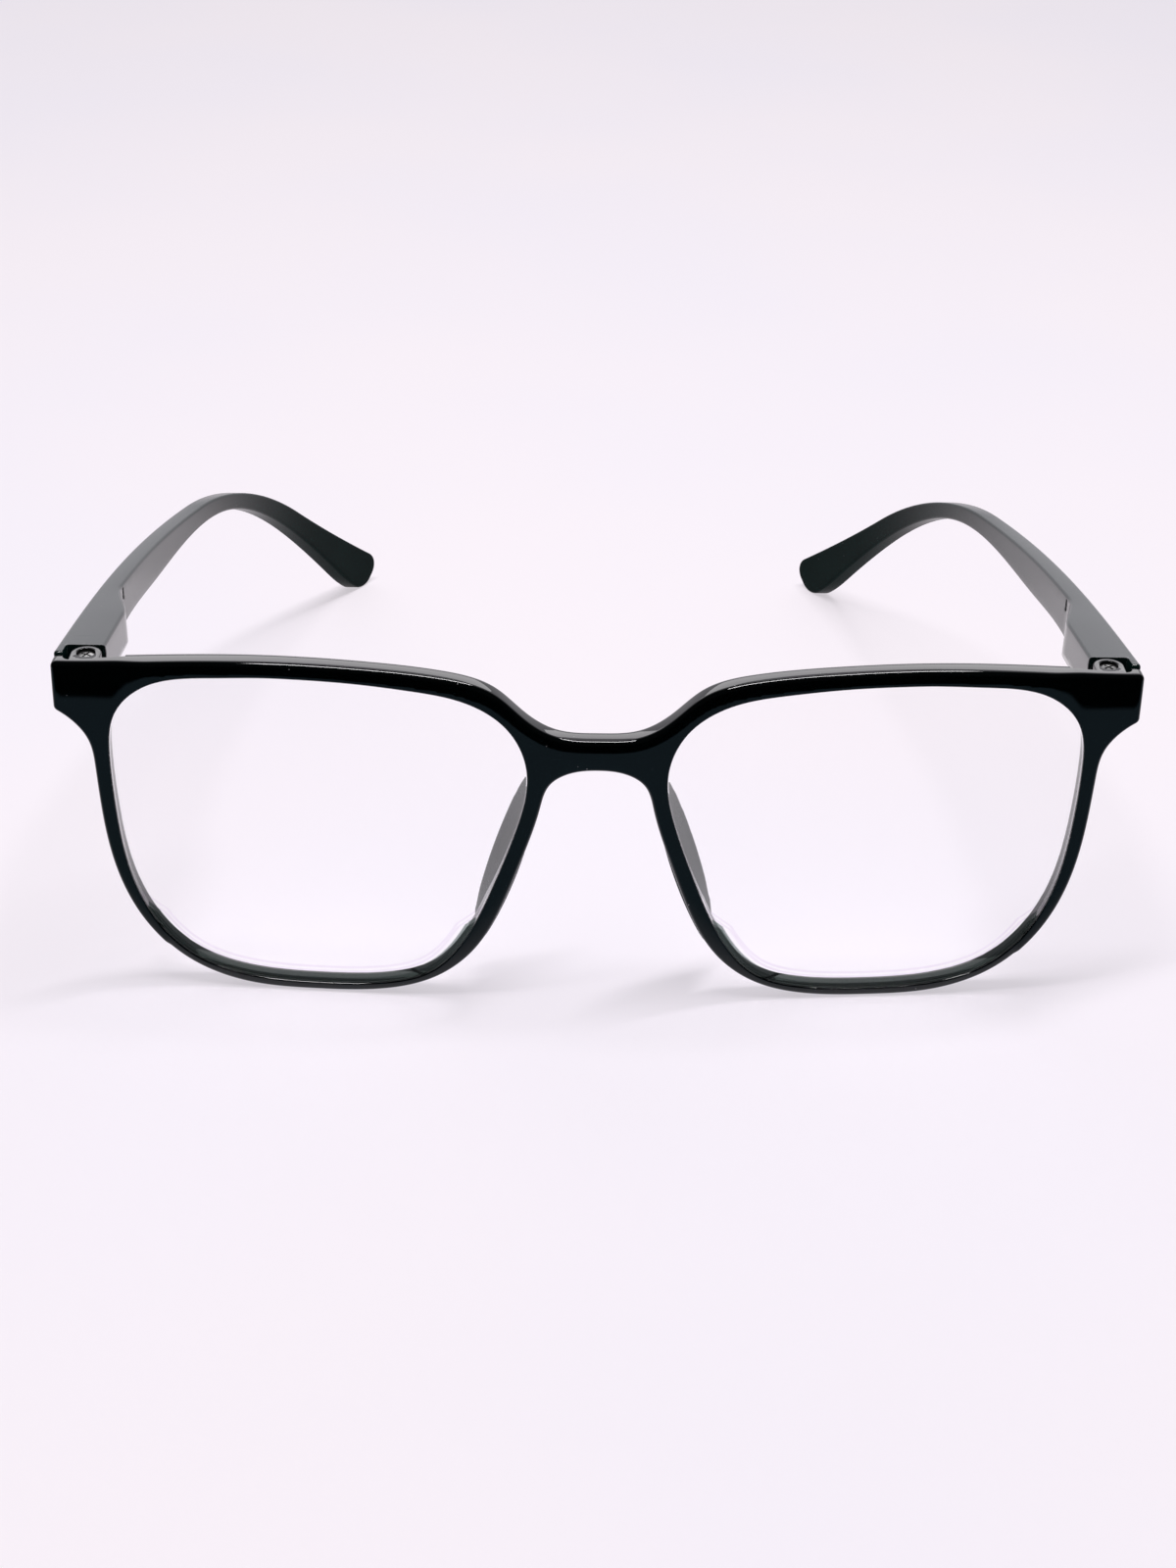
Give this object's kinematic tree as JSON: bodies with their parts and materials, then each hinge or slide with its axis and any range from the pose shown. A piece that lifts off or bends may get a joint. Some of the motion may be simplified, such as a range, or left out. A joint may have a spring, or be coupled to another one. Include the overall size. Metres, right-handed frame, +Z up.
{
  "type": "square eyeglasses",
  "caption": "Square full-rim eyeglasses with a keyhole-like moulded bridge, clear lenses and folding temples with curved ear ends.",
  "frame": {"origin": "middle of the footprint, on the surface that the open glasses stand on", "axes": "+X to the viewer's right across the front, +Y from the front to the temple tips, +Z up; the front faces -Y"},
  "size_m": [0.1396, 0.134, 0.0494],
  "materials": {
    "front_gloss": "polished black injection-moulded plastic",
    "temple_satin": "satin black plastic with a fine grain",
    "lens_clear": "clear polished lens",
    "screw_steel": "bright turned steel",
    "bush_brass": "plain turned brass"
  },
  "bodies": {
    "front": {"front_frame": "front_gloss", "lens_left": "lens_clear", "lens_right": "lens_clear", "hinge_screw_left": "screw_steel", "hinge_screw_right": "screw_steel", "thread_bush_left": "bush_brass", "thread_bush_right": "bush_brass"},
    "left_temple": {"temple_left": "temple_satin"},
    "right_temple": {"temple_right": "temple_satin"}
  },
  "joints": [
    {"name": "left_temple_hinge", "type": "hinge", "parent": "front", "child": "left_temple", "pos_m": [-0.0657, -0.0588, 0.0443], "axis": [0, 0, -1], "range_deg": [0, 78]},
    {"name": "right_temple_hinge", "type": "hinge", "parent": "front", "child": "right_temple", "pos_m": [0.0657, -0.0588, 0.0443], "axis": [0, 0, 1], "range_deg": [0, 74]}
  ]
}
